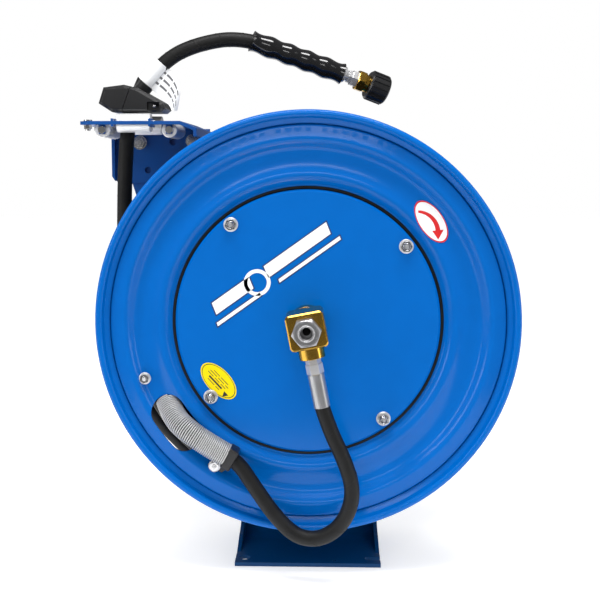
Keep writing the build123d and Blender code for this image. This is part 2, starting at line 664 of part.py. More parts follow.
# ---- outlet hose and what is on it -------------------------------------
def hose_stop():
    """The two-part ball clamp that stops the hose at the rollers: returns its left and right halves."""
    outline = [(-244, 252), (-238, 270.5), (-214, 273.5), (-199, 270), (-168, 252.5), (-166.5, 246),
               (-171, 242), (-228.5, 242)]
    ball = plate_xz(outline, -27, 27)
    ends = ball.faces().filter_by(Axis.Y).edges()
    ball = chamfer(ends, 3.5)
    run_start, run_end = Vector(-211, 0, 257), Vector(-168, 0, 306)
    along = (run_end - run_start).normalized()
    collar = Plane(run_start + along * 18, z_dir=along) * Cylinder(11.8, 18)
    collar -= box(-260, -150, -40, 40, 200, 262)
    tilt = 20.0
    cutter = Pos(-212.0, 0, 255) * Rot(0, tilt, 0)
    left_space = cutter * Pos(-100.3, 0, 0) * Box(200, 200, 200)
    right_space = cutter * Pos(100.3, 0, 0) * Box(200, 200, 200)
    bore = tube(OUTLET_ROUTE, HOSE_R + 0.15)
    left = (ball & left_space) - bore
    right = ((ball + collar) & right_space) - bore
    screw_path = [rod_x(2.6, -236, -170, y, 249) for y in (-17.5, 17.5)]
    for path in screw_path:
        left -= path
        right -= path
    for y in (-17.5, 17.5):
        right -= rod_x(4.2, -181, -150, y, 249)
    right -= box(-187, -172.5, -28, -21, 244, 253.5)
    return up(left), up(right)


def stop_screws():
    group = []
    for y in (-17.5, 17.5):
        screw = rod_x(2.5, -234, -178, y, 249)
        screw += rod_x(3.8, -181, -178, y, 249)
        group.append(up(screw))
    return group


def hose_tag():
    """A plastic tag folded round the hose, with its two faces stuck together as a flap."""
    run_start, run_end = Vector(-211, 0, 257), Vector(-168, 0, 306)
    along = (run_end - run_start).normalized()
    sleeve = Plane(run_start + along * 42, z_dir=along) * (Cylinder(10.4, 29) - Cylinder(9.6, 30))
    flap = plate_xz([(-189, 272.5), (-176, 262), (-165, 252), (-161, 243.5), (-156, 244.5), (-152.5, 254),
                     (-151.5, 265), (-153.5, 277), (-159.5, 287.5), (-168.5, 296.5)], -0.5, 0.5)
    flap -= Plane(run_start + along * 40.5, z_dir=along) * Cylinder(10.0, 60)
    return up(sleeve + flap)


def grip_axis():
    start = Vector(-67, 3.5, 326.3)
    end = Vector(40, 32, 290.4)
    return start, (end - start).normalized(), (end - start).length


def hose_grip():
    """A moulded hand grip with finger waves."""
    start, along, length = grip_axis()
    waves = 5
    profile = [(12.6, 0.0)]
    for wave in range(waves):
        profile.append((11.3, length * (wave + 0.5) / waves))
        profile.append((13.0, length * (wave + 1.0) / waves))
    outline = [
        Spline(*profile), Line(profile[-1], (0, length)), Line((0, length), (0, 0)), Line((0, 0), profile[0]),
    ]
    body = lathe(outline)
    place = Plane(start, z_dir=along, x_dir=(0, 1, 0))
    body = place * (Rot(90, 0, 0) * body)
    body -= tube(OUTLET_ROUTE, HOSE_R + 0.1)
    body -= outlet_frame(6) * Cylinder(10.0, 30)
    return up(body)


def outlet_ferrule():
    """The crimped sleeve and stem on the hose's end."""
    ferrule = outlet_frame(5) * Cylinder(9.7, 10)
    ferrule += outlet_frame(13) * Cylinder(6.5, 6)
    ferrule += outlet_frame(14) * extrude(RegularPolygon(7.2, 6, major_radius=False), 5)
    ferrule += outlet_frame(19) * extrude(RegularPolygon(8.8, 6, major_radius=False), 7)
    return up(ferrule)


def outlet_adapter():
    """The brass adapter that the knob turns on."""
    adapter = outlet_frame(26) * extrude(RegularPolygon(11.5, 6, major_radius=False), 10)
    adapter &= outlet_frame(31) * chamfer(Cylinder(13.0, 10).edges().filter_by(GeomType.CIRCLE), 1.4)
    adapter += outlet_frame(38) * Cylinder(10.4, 5)
    adapter += outlet_frame(42.5) * Cylinder(7.3, 6)
    adapter += outlet_frame(47) * Cylinder(9.2, 4)
    return up(adapter)


def coupling_knob():
    """The ribbed hand nut with its M22 socket, free to turn on the adapter."""
    knob = outlet_frame(53.5) * Cylinder(17.2, 25)
    knob = chamfer(knob.edges().filter_by(GeomType.CIRCLE), 1.5)
    ribs = 16
    for rib in range(ribs):
        knob += outlet_frame(53.5) * Rot(0, 0, rib * 360 / ribs) * Pos(16.6, 0, 0) * Box(3.4, 2.6, 20)
    knob -= outlet_frame(42) * Cylinder(7.3 + RUN_GAP, 8)
    knob -= outlet_frame(47.25) * Cylinder(9.8, 5.5)
    knob -= outlet_frame(58.5) * Cylinder(10.3, 17)
    return up(knob)


# ---- make and write every node ------------------------------------------
jumper_hose = up(tube(JUMPER_ROUTE, HOSE_R))
outlet_hose = up(tube(OUTLET_ROUTE, HOSE_R))
stop_left, stop_right = hose_stop()
disc = front_disc()
clamp_clip = hose_clamp() - up(tube(JUMPER_ROUTE, HOSE_R + 0.1)) - spring_guard() - disc
clamp_clip = clamp_clip.solids().sort_by(SortBy.VOLUME)[-1]

nodes = {
    "pedestal": pedestal(),
    "axle": axle(),
    "axle_clip": axle_clip(),
    "axle_washer": axle_washer(),
    "axle_nut": axle_nut(),
    "guide_arm": guide_arm(),
    "arm_bolts": arm_bolts(),
    "roller_bracket": roller_bracket(),
    "bracket_bolts": bracket_bolts(),
    "plate_bolts": plate_bolts(),
    "roller_pins": roller_pins(),
    "front_roller": roller_along_x(*FRONT_ROLLER),
    "rear_roller": roller_along_x(*REAR_ROLLER),
    "left_roller": roller_along_y(SIDE_ROLLER_X[0]),
    "right_roller": roller_along_y(SIDE_ROLLER_X[1]),
    "pawl": pawl(),
    "pawl_pin": pawl_pin(),
    "pawl_spring": pawl_spring(),
    "front_disc": disc,
    "rear_disc": rear_disc(),
    "drum_shell": drum_shell(),
    "centre_plate": centre_plate(),
    "front_studs": front_studs(),
    "rear_bolts": rear_bolts(),
    "hub_tube": hub_tube(),
    "front_bush": bearing(-40, -24),
    "middle_bush": bearing(24, 39),
    "rear_bush": bearing(CASE_FACE + 2, 88),
    "spring_case": spring_case(),
    "spring_cover": spring_cover(),
    "mainspring": mainspring(),
    "ratchet_wheel": ratchet_wheel(),
    "wound_hose": up(ring_y(PACK_R, DRUM_R + 0.2, -PACK_HALF, PACK_HALF)),
    "swivel_hub": swivel_hub(),
    "swivel_block": swivel_block(),
    "inlet_fitting": inlet_fitting(),
    "outlet_nipple": outlet_nipple(),
    "outlet_nut": outlet_nut(),
    "jumper_ferrule": jumper_ferrule() - jumper_hose,
    "jumper_hose": jumper_hose,
    "hose_clamp": clamp_clip,
    "disc_bolts": [bolt - disc for bolt in disc_bolts()],
    "spring_guard": spring_guard(),
    "outlet_hose": outlet_hose,
    "hose_stop_left": stop_left,
    "hose_stop_right": stop_right,
    "stop_screws": stop_screws(),
    "hose_tag": hose_tag(),
    "hose_grip": hose_grip(),
    "outlet_ferrule": outlet_ferrule() - outlet_hose,
    "outlet_adapter": outlet_adapter(),
    "coupling_knob": coupling_knob(),
}

os.makedirs("parts", exist_ok=True)
for name, shape in nodes.items():
    solid = Compound(children=shape) if isinstance(shape, list) else shape
    export_step(solid, f"parts/{name}.step")

for name, hose, route in (
    ("jumper hose", jumper_hose, JUMPER_ROUTE),
    ("outlet hose", outlet_hose, OUTLET_ROUTE),
):
    length = FilletPolyline(*route, radius=corner_radii(route)).length
    print(name, "length", round(length, 1), "bend radii", [round(radius) for radius in corner_radii(route)])
    print(name, "volume over section times length", round(hose.volume / (pi * HOSE_R**2 * length), 4))
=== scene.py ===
"""Looks of the spring-rewind hose reel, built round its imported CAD. Metres, row frame, +Z up."""

import json
from math import atan2, cos, pi, radians, sin, sqrt

import bpy
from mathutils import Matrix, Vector


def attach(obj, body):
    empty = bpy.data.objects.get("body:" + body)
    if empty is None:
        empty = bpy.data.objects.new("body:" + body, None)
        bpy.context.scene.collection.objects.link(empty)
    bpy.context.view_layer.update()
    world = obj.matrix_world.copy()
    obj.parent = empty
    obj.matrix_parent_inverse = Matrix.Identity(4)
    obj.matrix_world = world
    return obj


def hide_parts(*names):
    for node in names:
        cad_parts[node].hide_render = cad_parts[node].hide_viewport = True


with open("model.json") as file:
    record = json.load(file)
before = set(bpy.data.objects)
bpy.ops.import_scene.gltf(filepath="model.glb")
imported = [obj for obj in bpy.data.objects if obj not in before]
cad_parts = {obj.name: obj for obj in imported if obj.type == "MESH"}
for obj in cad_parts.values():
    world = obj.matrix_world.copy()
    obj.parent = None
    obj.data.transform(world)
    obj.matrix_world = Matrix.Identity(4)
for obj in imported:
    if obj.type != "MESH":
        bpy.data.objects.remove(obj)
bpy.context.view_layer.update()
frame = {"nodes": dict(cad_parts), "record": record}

# ---- places and sizes, from the frame -----------------------------------
AXIS = Vector((0, 0, 0.296))
HOSE_R = 0.00875
PACK_LAYERS = (0.16905, 0.18655, 0.20325)   # radius of each layer's hose centres
PACK_R, PACK_HALF = 0.2122, 0.035           # outside of the wound hose, and half its width
PACK_TURNS = 4                              # in each layer
PLATE_R, PLATE_FACE = 0.1535, -0.050
STUD_CIRCLE_R, STUD_ANGLES = 0.143, (38, 128, 218, 308)
DISC_BOLT_CIRCLE_R = 0.199

# the hoses' routes, from the reel's axis, as in part.py
JUMPER_ROUTE = [
    (0.0172, -0.093, -0.0883), (0.0255, -0.094, -0.114), (0.042, -0.095, -0.148), (0.052, -0.0955, -0.180),
    (0.048, -0.095, -0.207), (0.034, -0.093, -0.2295), (0.012, -0.091, -0.242), (-0.013, -0.0875, -0.2395),
    (-0.038, -0.0815, -0.2165), (-0.062, -0.0735, -0.1845), (-0.080, -0.0665, -0.160),
    (-0.109, -0.0665, -0.1435), (-0.136, -0.0665, -0.1255), (-0.155, -0.056, -0.1115),
    (-0.1625, -0.0445, -0.098),
]
OUTLET_ROUTE = [
    (0.003, 0, -0.22125), (-0.091645, 0, -0.22125), (-0.22125, 0, -0.091645), (-0.2223, 0, 0.020),
    (-0.2212, 0, 0.112), (-0.2185, 0, 0.193), (-0.211, 0, 0.257), (-0.168, 0, 0.306),
    (-0.128, 0, 0.3235), (-0.080, 0, 0.3302), (-0.020, 0.016, 0.3125), (0.034, 0.0304, 0.2926),
]


# ---- materials ----------------------------------------------------------
def material(name, color, rough, metal=0.0, coat=0.0, grain=0.0, grain_size=0.001, mottle=0.0, edge=0.0,
             shine=0.5):
    """A painted, plated or moulded finish: colour, roughness, fine grain and softened edges."""
    mat = bpy.data.materials.new(name)
    mat.use_nodes = True
    nodes, links = mat.node_tree.nodes, mat.node_tree.links
    shader = nodes["Principled BSDF"]
    shader.inputs["Base Color"].default_value = (*color, 1)
    shader.inputs["Roughness"].default_value = rough
    shader.inputs["Metallic"].default_value = metal
    shader.inputs["Coat Weight"].default_value = coat
    shader.inputs["Coat Roughness"].default_value = 0.12
    shader.inputs["Specular IOR Level"].default_value = shine
    place = nodes.new("ShaderNodeTexCoord")
    if mottle:
        noise = nodes.new("ShaderNodeTexNoise")
        noise.inputs["Scale"].default_value = 45
        noise.inputs["Detail"].default_value = 5
        links.new(place.outputs["Object"], noise.inputs["Vector"])
        ramp = nodes.new("ShaderNodeValToRGB")
        ramp.color_ramp.elements[0].position = 0.3
        ramp.color_ramp.elements[1].position = 0.7
        ramp.color_ramp.elements[0].color = (*[c * (1 - mottle) for c in color], 1)
        ramp.color_ramp.elements[1].color = (*[min(1, c * (1 + mottle)) for c in color], 1)
        links.new(noise.outputs["Fac"], ramp.inputs["Fac"])
        links.new(ramp.outputs["Color"], shader.inputs["Base Color"])
    normal = None
    if edge:
        bevel = nodes.new("ShaderNodeBevel")
        bevel.samples = 4
        bevel.inputs["Radius"].default_value = edge
        normal = bevel.outputs["Normal"]
    if grain:
        fine = nodes.new("ShaderNodeTexNoise")
        fine.inputs["Scale"].default_value = 1 / grain_size
        fine.inputs["Detail"].default_value = 2
        links.new(place.outputs["Object"], fine.inputs["Vector"])
        bump = nodes.new("ShaderNodeBump")
        bump.inputs["Strength"].default_value = grain
        bump.inputs["Distance"].default_value = 0.0004
        links.new(fine.outputs["Fac"], bump.inputs["Height"])
        if normal:
            links.new(normal, bump.inputs["Normal"])
        normal = bump.outputs["Normal"]
    if normal:
        links.new(normal, shader.inputs["Normal"])
    return mat


FINISH = {
    "blue_paint": material("blue_paint", (0.0, 0.112, 0.44), 0.17, grain=0.04, grain_size=0.0016, mottle=0.02,
                           edge=0.0008, shine=0.20),
    "bracket_paint": material("bracket_paint", (0.0, 0.060, 0.26), 0.30, grain=0.05, grain_size=0.0016,
                              mottle=0.03, edge=0.0008, shine=0.35),
    # navy_paint is the discs' blue painted darker: painted shade for the pedestal under the disc
    "navy_paint": material("navy_paint", (0.0, 0.040, 0.135), 0.30, grain=0.05, grain_size=0.0016,
                           mottle=0.04, edge=0.0009, shine=0.25),
    "zinc_steel": material("zinc_steel", (0.60, 0.60, 0.61), 0.17, 1.0, grain=0.06, mottle=0.10, edge=0.0004),
    "roller_steel": material("roller_steel", (0.86, 0.86, 0.87), 0.38, 0.55, grain=0.05, mottle=0.03,
                             edge=0.0005),
    "spring_steel": material("spring_steel", (0.20, 0.22, 0.27), 0.35, 1.0, mottle=0.1),
    "guard_wire": material("guard_wire", (0.46, 0.46, 0.46), 0.40, 0.40, mottle=0.08),
    "ferrule_steel": material("ferrule_steel", (0.38, 0.38, 0.39), 0.28, 0.75, grain=0.12, mottle=0.10,
                              edge=0.0005),
    "bronze": material("bronze", (0.42, 0.27, 0.12), 0.4, 1.0, mottle=0.1),
    "brass": material("brass", (0.58, 0.34, 0.055), 0.20, 1.0, grain=0.10, mottle=0.15, edge=0.0007),
    "hose_rubber": material("hose_rubber", (0.0065, 0.0065, 0.0065), 0.50, grain=0.5, grain_size=0.0012,
                            mottle=0.3, shine=0.25),
    "black_plastic": material("black_plastic", (0.010, 0.010, 0.011), 0.30, grain=0.15, grain_size=0.0008,
                              mottle=0.15, edge=0.0009),
    "grip_plastic": material("grip_plastic", (0.006, 0.006, 0.007), 0.14, coat=0.5, grain=0.05, edge=0.0008),
    "tag_film": material("tag_film", (0.88, 0.89, 0.90), 0.35, mottle=0.02),
}
PLATED = material("plated_steel", (0.58, 0.58, 0.59), 0.28, 0.55, grain=0.06, mottle=0.08, edge=0.0005)
PRINT = {
    "label_red": material("label_red", (0.62, 0.012, 0.015), 0.35),
    "label_white": material("label_white", (0.86, 0.87, 0.88), 0.35),
    "label_yellow": material("label_yellow", (0.80, 0.63, 0.0), 0.35, shine=0.2),
    "label_ink": material("label_ink", (0.015, 0.015, 0.02), 0.4),
    "label_navy": material("label_navy", (0.01, 0.035, 0.14), 0.35),
    "label_grey": material("label_grey", (0.13, 0.13, 0.14), 0.4),
}

slot_of_node = {part["node"]: part["material_slot"] for part in frame["record"]["subparts"]}
PLATED_NODES = ("outlet_nipple", "outlet_nut", "outlet_ferrule")
for name, piece in frame["nodes"].items():
    piece.data.materials.clear()
    piece.data.materials.append(PLATED if name in PLATED_NODES else FINISH[slot_of_node[name]])


# ---- helpers ------------------------------------------------------------
def dress(piece, body, slot, mat=None):
    """Give a new piece its finish and its body."""
    piece.data.materials.clear()
    piece.data.materials.append(mat or FINISH[slot])
    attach(piece, body)
    return piece


def mesh_piece(name, points, faces, body, slot, mat=None):
    """A smooth-shaded mesh of the points and faces."""
    mesh = bpy.data.meshes.new(name)
    mesh.from_pydata([tuple(p) for p in points], [], faces)
    mesh.validate()
    for polygon in mesh.polygons:
        polygon.use_smooth = True
    piece = bpy.data.objects.new(name, mesh)
    bpy.context.scene.collection.objects.link(piece)
    return dress(piece, body, slot, mat)


def route_curve(name, points, kind):
    """A curve of one open spline: POLY goes through the points, NURBS is controlled by them."""
    data = bpy.data.curves.new(name, "CURVE")
    data.dimensions = "3D"
    data.resolution_u = 12
    spline = data.splines.new(kind)
    spline.points.add(len(points) - 1)
    for point, place in zip(spline.points, points):
        point.co = (*place, 1)
    if kind == "NURBS":
        spline.order_u = 3
        spline.use_endpoint_u = True
    spline.use_smooth = True
    return data


def line_piece(name, points, radius, body, slot, kind="POLY", mat=None, sides=4, closed=False):
    """A wire or hose of round section along the points."""
    data = route_curve(name, points, kind)
    data.bevel_depth = radius
    data.bevel_resolution = sides
    data.use_fill_caps = not closed
    data.splines[0].use_cyclic_u = closed
    piece = bpy.data.objects.new(name, data)
    bpy.context.scene.collection.objects.link(piece)
    return dress(piece, body, slot, mat)


def lifted(route):
    """A route from the reel's axis, in the row's frame."""
    return [AXIS + Vector(p) for p in route]


def circle(count):
    """The angles of evenly spaced points once round."""
    return [2 * pi * i / count for i in range(count)]


def ring_line(radius, y, count):
    """Points round the reel's axis."""
    return [(radius * cos(t), y, AXIS.z + radius * sin(t)) for t in circle(count)]


def on_circle(radius, degrees):
    """A bolt's place from the axis: x and z."""
    return radius * cos(radians(degrees)), radius * sin(radians(degrees))


def spline_line(route):
    """Points along the smooth line that the route's points control, read from its NURBS spline."""
    data = route_curve("route", route, "NURBS")
    data.resolution_u = 40
    holder = bpy.data.objects.new("route", data)
    mesh = bpy.data.meshes.new_from_object(holder)
    line = [vertex.co.copy() for vertex in mesh.vertices]
    bpy.data.objects.remove(holder)
    bpy.data.meshes.remove(mesh)
    bpy.data.curves.remove(data)
    return line


def along(line, spacing):
    """Evenly spaced points along the line: each one's distance, place and direction."""
    out, walked, target = [], 0.0, 0.0
    for a, b in zip(line, line[1:]):
        length = (b - a).length
        while length > 0 and target <= walked + length:
            out.append((target, a.lerp(b, (target - walked) / length), (b - a).normalized()))
            target += spacing
        walked += length
    return out


def coil_points(line, first, last, radius, pitch, steps):
    """A helix round the line between two distances along it, with a number of steps in each turn."""
    samples = [s for s in along(line, pitch / steps) if first <= s[0] <= last]
    side = samples[0][2].orthogonal().normalized()
    points = []
    for distance, place, direction in samples:
        side = (side - direction * side.dot(direction)).normalized()
        up = direction.cross(side)
        angle = 2 * pi * (distance - first) / pitch
        points.append(place + side * (radius * cos(angle)) + up * (radius * sin(angle)))
    return points


def lathe_y(name, profile, centre, body, slot, mat=None, segments=96):
    """A turned piece about a line along Y: the profile gives (radius, y)."""
    count = len(profile)
    points, faces = [], []
    for angle in circle(segments):
        for radius, y in profile:
            points.append((centre[0] + radius * cos(angle), y, centre[2] + radius * sin(angle)))
    for step in range(segments):
        here, there = step * count, (step + 1) % segments * count
        for i in range(count - 1):
            faces.append((here + i, here + i + 1, there + i + 1, there + i))
    return mesh_piece(name, points, faces, body, slot, mat)


# ---- the wound hose ------------------------------------------------------
PACK_START = radians(75)
CROSS_FROM, CROSS_SHARE = 0.86, 0.12   # the part of a turn in which the hose crosses to its next place
PACK_GAP = 0.00004                     # between neighbouring turns, so that their faces don't meet


def wound_line(steps=96):
    """The hose on the drum: three layers of four turns, each crossing over in a short arc."""
    points = []
    for layer, radius in enumerate(PACK_LAYERS):
        way = 1 if layer % 2 == 0 else -1
        for turn in range(PACK_TURNS):
            last = turn == PACK_TURNS - 1
            climbs = last and layer < len(PACK_LAYERS) - 1
            for step in range(steps):
                share = step / steps
                shift = max(0.0, min(1.0, (share - CROSS_FROM) / CROSS_SHARE))
                shift = shift * shift * (3 - 2 * shift)
                lane = turn + (0 if last else shift)
                y = way * (-PACK_HALF + HOSE_R + 2 * HOSE_R * lane)
                reach = radius + (shift * (PACK_LAYERS[layer + 1] - radius) if climbs else 0.0)
                angle = PACK_START + 2 * pi * share
                points.append((reach * cos(angle), y, AXIS.z + reach * sin(angle)))
    return points


wound = line_piece("wound_turns", wound_line(), HOSE_R - PACK_GAP, "spool", "hose_rubber", sides=5)
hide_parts("wound_hose")

# ---- the hoses ------------------------------------------------------------
outlet_line = spline_line(lifted(OUTLET_ROUTE))
jumper_line = spline_line(lifted(JUMPER_ROUTE))
outlet = line_piece("outlet_line", lifted(OUTLET_ROUTE), HOSE_R, "frame", "hose_rubber", "NURBS", sides=8)
jumper = line_piece("jumper_line", lifted(JUMPER_ROUTE), HOSE_R, "spool", "hose_rubber", "NURBS", sides=8)
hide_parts("outlet_hose")
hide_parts("jumper_hose")


def length_of(line):
    return sum((b - a).length for a, b in zip(line, line[1:]))


OUTLET_LENGTH, JUMPER_LENGTH = length_of(outlet_line), length_of(jumper_line)

# the cover's wrap marks, a shallow ridge wound along each hose up to its grip or guard
WRAP_R, WRAP_PITCH, WRAP_WIRE = HOSE_R - 0.00015, 0.030, 0.00032
for name, line, body, first, last in (
    ("outlet_wrap", outlet_line, "frame", 0.02, OUTLET_LENGTH - 0.12),
    ("jumper_wrap", jumper_line, "spool", 0.004, JUMPER_LENGTH - 0.115),
):
    line_piece(name, coil_points(line, first, last, WRAP_R, WRAP_PITCH, 64), WRAP_WIRE, body,
               "hose_rubber", sides=1)

LEAD_START, LEAD_ARC = -pi / 2 + 0.0136, 0.30   # where the outlet hose ends, and the arc of its taper
LEAD_CLEAR = 0.0003


def lead_in(rings=22, sides=24):
    """The hidden end of the outlet hose, tapered down onto the wound hose that it comes from."""
    points, faces = [], []
    for ring in range(rings + 1):
        t = ring / rings
        thick = HOSE_R * sqrt(max(0.004, 1 - t ** 1.6))
        angle = LEAD_START + LEAD_ARC * t
        out = Vector((cos(angle), 0, sin(angle)))
        middle = AXIS + out * (PACK_R + LEAD_CLEAR + thick)
        for turn in circle(sides):
            points.append(middle + out * (thick * cos(turn)) + Vector((0, thick * sin(turn), 0)))
    for ring in range(rings):
        for side in range(sides):
            here, there = ring * sides, (ring + 1) * sides
            follow = (side + 1) % sides
            faces.append((here + side, here + follow, there + follow, there + side))
    faces.append(tuple(range(rings * sides, (rings + 1) * sides)))
    return mesh_piece("hose_lead_in", points, faces, "frame", "hose_rubber")


hose_end = lead_in()

# ---- wire guard ------------------------------------------------------------
GUARD_WIRE, GUARD_R, GUARD_PITCH = 0.00092, 0.0130, 0.0023
GUARD_LENGTH, GUARD_PAST = 0.0945, 0.005   # along the jumper, and past its end
guard_end = (jumper_line[-1] - jumper_line[-2]).normalized() * GUARD_PAST
guard_coil = coil_points(jumper_line + [jumper_line[-1] + guard_end], JUMPER_LENGTH - GUARD_LENGTH,
                         JUMPER_LENGTH + GUARD_PAST, GUARD_R, GUARD_PITCH, 22)
guard = line_piece("guard_coil", guard_coil, GUARD_WIRE, "spool", "guard_wire", sides=2)
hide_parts("spring_guard")


# ---- disc surface and what is printed on it --------------------------------
DISC_PROFILE = [
    (0.157, -0.0445), (0.160, -0.0463), (0.165, -0.0516), (0.168, -0.0532), (0.1705, -0.0537),
    (0.1725, -0.0534), (0.177, -0.0520), (0.186, -0.0504), (0.195, -0.0508), (0.200, -0.0528),
    (0.2055, -0.0584), (0.211, -0.0616),
]


def disc_y(radius):
    """The reel's front surface at a radius: the centre plate, or the disc between its profile's points."""
    if radius < PLATE_R:
        return PLATE_FACE
    for (r0, y0), (r1, y1) in zip(DISC_PROFILE, DISC_PROFILE[1:]):
        if r0 <= radius <= r1:
            share = (radius - r0) / (r1 - r0)
            return y0 + (y1 - y0) * share
    return DISC_PROFILE[0][1]


def printed(name, rows, centre, turn, lift, ink):
    """A thin printed patch that lies on the reel's front: rows of (along, across) points."""
    points, faces = [], []
    width = len(rows[0])
    c, s = cos(turn), sin(turn)
    for row in rows:
        for a, b in row:
            x, z = centre[0] + a * c - b * s, centre[1] + a * s + b * c
            y = disc_y(sqrt(x * x + z * z)) - lift
            points.append((x, y, AXIS.z + z))
    for i in range(len(rows) - 1):
        for j in range(width - 1):
            k = i * width + j
            faces.append((k, k + 1, k + width + 1, k + width))
    return mesh_piece(name, points, faces, "spool", "blue_paint", PRINT[ink])


def shares(count):
    """Evenly spaced numbers from 0 to 1, both ends in."""
    return [i / count for i in range(count + 1)]


def oval(a, b, hole=0.0):
    """An oval patch, or with a hole, given as a share of its size, an oval ring."""
    return [[(a * s * cos(2 * pi * t), b * s * sin(2 * pi * t)) for t in shares(72)]
            for s in [hole + (1 - hole) * k for k in shares(14)]]


def bar(x0, x1, y0, y1):
    """A straight patch."""
    return [[(x0 + (x1 - x0) * i, y0 + (y1 - y0) * j) for j in shares(2)] for i in shares(14)]


def arc_band(radius, widths, degrees, centre):
    """A bent patch whose width goes from the first to the second of the widths."""
    rows = []
    for i in shares(30):
        t = radians(degrees[0] + (degrees[1] - degrees[0]) * i)
        w = widths[0] + (widths[1] - widths[0]) * i
        rows.append([(centre[0] + (radius + w * k) * cos(t), centre[1] + (radius + w * k) * sin(t))
                     for k in (-0.5, -0.25, 0, 0.25, 0.5)])
    return rows


RED_AT, RED_TURN, RED_SIZE = (0.1405, 0.1165), radians(-55), (0.0275, 0.0140)
ARROW_LIFT = 0.00052
arrow_bow = arc_band(0.024, (0.0028, 0.0056), (142, 60), (0.001, -0.0205))
TIP_LENGTH, TIP_HALF = 0.0095, 0.0066
arrow_tip = [[(0.0125 + TIP_LENGTH * t * 0.94 + TIP_HALF * (1 - t) * k * 0.5,
               0.0006 - TIP_LENGTH * t * 0.60 + TIP_HALF * (1 - t) * k * 0.87)
              for k in (-1, -0.5, 0, 0.5, 1)] for t in shares(8)]
printed("turn_label", oval(*RED_SIZE), RED_AT, RED_TURN, 0.00035, "label_white")
printed("turn_label_edge", oval(*RED_SIZE, hole=0.93), RED_AT, RED_TURN, 0.00050, "label_red")
printed("turn_arrow", arrow_bow, RED_AT, RED_TURN, ARROW_LIFT, "label_red")
printed("turn_arrow_head", arrow_tip, RED_AT, RED_TURN, ARROW_LIFT, "label_red")

YELLOW_AT, YELLOW_TURN, YELLOW_SIZE = (-0.1034, -0.0694), radians(133), (0.0265, 0.0140)
NOTE_LIFT = 0.00030
printed("note_label", oval(*YELLOW_SIZE), YELLOW_AT, YELLOW_TURN, 0.00020, "label_yellow")
printed("note_label_line", oval(*[0.93 * r for r in YELLOW_SIZE], hole=0.965), YELLOW_AT, YELLOW_TURN,
        NOTE_LIFT, "label_ink")
# broken lines in place of the notice: each line's height, half its thickness, and its words' ends
for line, (z, thick, ends) in enumerate([
    (0.0068, 0.0004, (-0.008, -0.002, 0.000, 0.011)), (0.0036, 0.0010, (-0.009, 0.012)),
    (0.0006, 0.0004, (-0.012, -0.004, -0.002, 0.006, 0.008, 0.017)),
    (-0.0022, 0.0004, (-0.014, -0.009, -0.007, 0.003, 0.005, 0.016)),
    (-0.0050, 0.0004, (-0.011, 0.001, 0.003, 0.013)),
]):
    for word, (first, last) in enumerate(zip(ends[::2], ends[1::2])):
        printed(f"note_line_{line}_{word}", bar(first, last, z - thick, z + thick), YELLOW_AT, YELLOW_TURN,
                NOTE_LIFT, "label_ink")
triangle = [[(-0.0165 + 0.0035 * (1 - t) * k, 0.0035 + 0.006 * t) for k in (-1, 0, 1)] for t in shares(6)]
printed("note_sign", triangle, YELLOW_AT, YELLOW_TURN, NOTE_LIFT, "label_ink")

# plain slanted stripes across the centre plate, each with a dark edge round it, and a ring between them
BAND_FROM, BAND_TO = Vector((-0.109, 0.004)), Vector((0.034, 0.106))
BAND_TURN = atan2(*(BAND_TO - BAND_FROM).yx)
BAND_MIDDLE = tuple((BAND_FROM + BAND_TO) / 2)
BAND_HALF = (BAND_TO - BAND_FROM).length / 2
SLANT, SHADE_LIFT, STRIPE_LIFT = 0.25, 0.00015, 0.00028
SHADE_SIDE, SHADE_END = 0.0014, 0.0016


def stripe(first, last, low, high, longer=0.0):
    """A slanted patch: its ends as shares of half the band, and longer by so much at each end."""
    rows = []
    for i in shares(10):
        x = BAND_HALF * (first + (last - first) * i) + {0: -longer, 1: longer}.get(i, 0)
        rows.append([(x + SLANT * z, z) for z in (low, (low + high) / 2, high)])
    return rows


for number, (first, last, low, high) in enumerate([
    (-0.94, -0.34, 0.0015, 0.0155), (-0.10, 0.90, 0.0015, 0.0155), (-0.98, -0.28, -0.0105, -0.0065),
    (0.02, 1.0, -0.0105, -0.0065),
]):
    shade = stripe(first, last, low - SHADE_SIDE, high + SHADE_SIDE, SHADE_END)
    printed(f"plate_shade_{number}", shade, BAND_MIDDLE, BAND_TURN, SHADE_LIFT, "label_navy")
    printed(f"plate_stripe_{number}", stripe(first, last, low, high), BAND_MIDDLE, BAND_TURN, STRIPE_LIFT,
            "label_white")
RING_AT, RING_R = (-0.022, 0.0045), 0.0155
ring = [[(RING_AT[0] + RING_R * s * cos(2 * pi * t), RING_AT[1] + RING_R * s * sin(2 * pi * t))
         for t in shares(48)] for s in (0.72, 0.86, 1.0)]
printed("plate_ring", ring, BAND_MIDDLE, BAND_TURN, STRIPE_LIFT, "label_white")

# a black rubber seal in the gap round the centre plate, its black also painted shade for the deep gap
lathe_y("plate_seal_and_gap_shade", [(0.1532, -0.0447), (0.1532, -0.0452), (0.1545, -0.0458), (0.1558, -0.0458),
                       (0.1570, -0.0450), (0.1570, -0.0446)], AXIS, "spool", "hose_rubber", segments=192)

# ---- inlet: thread, a black disc of painted shade in the bore, and lip --------
INLET_MOUTH, THREAD_PITCH = -0.1262, 0.0019
for number in range(7):
    line_piece(f"inlet_thread_{number}", ring_line(0.0073, INLET_MOUTH + number * THREAD_PITCH, 48), 0.00055,
               "inlet", "ferrule_steel", closed=True, sides=2)
# a black disc across the bore: painted shade that makes the bore dark
lathe_y("inlet_bore_shade_disc", [(0.0, -0.1118), (0.0072, -0.1118), (0.0072, -0.1112)], AXIS, "inlet",
        "hose_rubber")
line_piece("inlet_lip", ring_line(0.0087, -0.1269, 64), 0.00055, "inlet", "ferrule_steel", closed=True,
           sides=2, mat=PLATED)


# ---- nuts and studs -------------------------------------------------------------
NUT_HEIGHT = 0.0055     # from a disc bolt's seat to the end of its stud
STUD_END = -0.0565      # of the centre plate's studs


